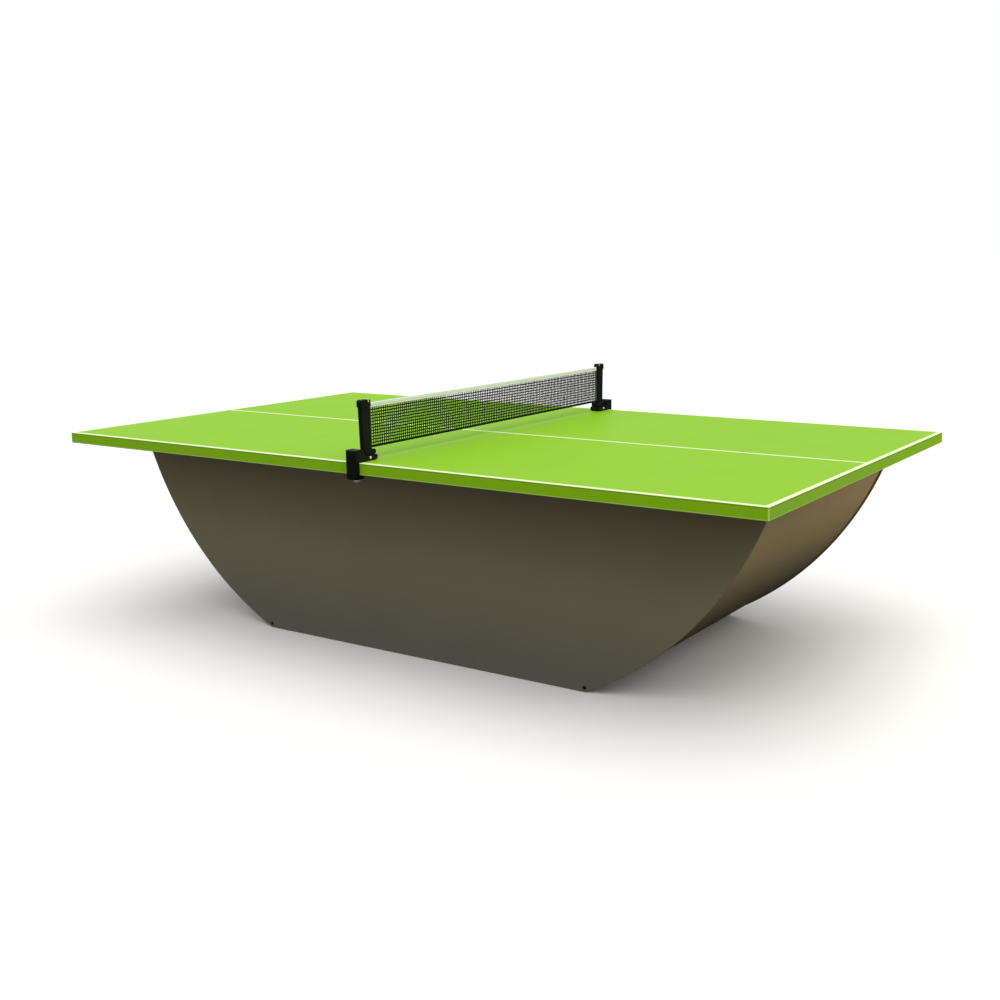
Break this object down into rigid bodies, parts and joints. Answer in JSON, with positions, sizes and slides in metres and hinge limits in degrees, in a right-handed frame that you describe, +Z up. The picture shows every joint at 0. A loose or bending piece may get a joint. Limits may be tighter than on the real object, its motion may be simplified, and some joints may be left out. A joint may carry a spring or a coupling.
{
  "type": "ping pong table",
  "caption": "Full-size table tennis table: green top with white lines on a closed boat-shaped base with curved ends, and a clamp-on net.",
  "frame": {"origin": "on the floor, under the middle of the table", "axes": "+X along the table's length, +Y across it, +Z up"},
  "size_m": [2.74, 1.562, 0.8908],
  "materials": {
    "table_top": "satin green paint with white lines",
    "base_panel": "satin dark brown-grey paint",
    "inner_timber": "bare planed timber",
    "zinc_steel": "zinc plated",
    "dark_screw": "blackened",
    "black_plastic": "fine moulded grain",
    "rubber": "matt",
    "chrome": "polished",
    "net_black": "twisted polyester",
    "white_tape": "woven cotton tape",
    "grey_sleeve": "woven"
  },
  "bodies": {
    "table": {"arm_screw_far": "chrome", "arm_screw_near": "chrome", "base_rail_far": "inner_timber", "base_rail_near": "inner_timber", "bottom_sheet": "base_panel", "bulkhead_1": "inner_timber", "bulkhead_2": "inner_timber", "bulkhead_3": "inner_timber", "clamp_arm_pad_far": "rubber", "clamp_arm_pad_near": "rubber", "clamp_body_far": "black_plastic", "clamp_body_near": "black_plastic", "cord_cleat_far": "chrome", "cord_cleat_near": "chrome", "corner_screw_far_left": "dark_screw", "corner_screw_far_right": "dark_screw", "corner_screw_near_left": "dark_screw", "corner_screw_near_right": "dark_screw", "cross_rail_1": "inner_timber", "cross_rail_2": "inner_timber", "cross_rail_3": "inner_timber", "cross_rail_4": "inner_timber", "cross_rail_5": "inner_timber", "end_skin_left": "base_panel", "end_skin_right": "base_panel", "join_plate_far": "zinc_steel", "join_plate_near": "zinc_steel", "join_screw_far_left": "zinc_steel", "join_screw_far_right": "zinc_steel", "join_screw_near_left": "zinc_steel", "join_screw_near_right": "zinc_steel", "net_bottom_cord": "net_black", "net_mesh": "net_black", "net_post_far": "black_plastic", "net_post_near": "black_plastic", "net_sleeve_far": "grey_sleeve", "net_sleeve_near": "grey_sleeve", "net_top_cord": "net_black", "net_top_tape": "white_tape", "post_cap_far": "black_plastic", "post_cap_near": "black_plastic", "side_panel_far": "base_panel", "side_panel_near": "base_panel", "top_half_left": "table_top", "top_half_right": "table_top", "top_rail_far": "inner_timber", "top_rail_near": "inner_timber", "top_screw_far_1": "zinc_steel", "top_screw_far_2": "zinc_steel", "top_screw_far_3": "zinc_steel", "top_screw_far_4": "zinc_steel", "top_screw_near_1": "zinc_steel", "top_screw_near_2": "zinc_steel", "top_screw_near_3": "zinc_steel", "top_screw_near_4": "zinc_steel"},
    "pad_near": {"pressure_pad_near": "rubber"},
    "pad_far": {"pressure_pad_far": "rubber"},
    "screw_near": {"clamp_screw_near": "chrome"},
    "screw_far": {"clamp_screw_far": "chrome"}
  },
  "joints": [
    {"name": "clamp_pad_slide_near", "type": "slide", "parent": "table", "child": "pad_near", "axis": [0, 0, 1], "range_m": [-0.003, 0]},
    {"name": "clamp_screw_turn_near", "type": "hinge", "parent": "pad_near", "child": "screw_near", "pos_m": [0, -0.752, 0.645], "axis": [0, 0, 1], "range_deg": [-864, 0]},
    {"name": "clamp_pad_slide_far", "type": "slide", "parent": "table", "child": "pad_far", "axis": [0, 0, 1], "range_m": [-0.003, 0]},
    {"name": "clamp_screw_turn_far", "type": "hinge", "parent": "pad_far", "child": "screw_far", "pos_m": [0, 0.752, 0.645], "axis": [0, 0, 1], "range_deg": [-864, 0]}
  ],
  "couplings": [
    {"joint": "clamp_screw_turn_near", "follows": "clamp_pad_slide_near", "rad_per_m": 5026.5},
    {"joint": "clamp_screw_turn_far", "follows": "clamp_pad_slide_far", "rad_per_m": 5026.5}
  ]
}
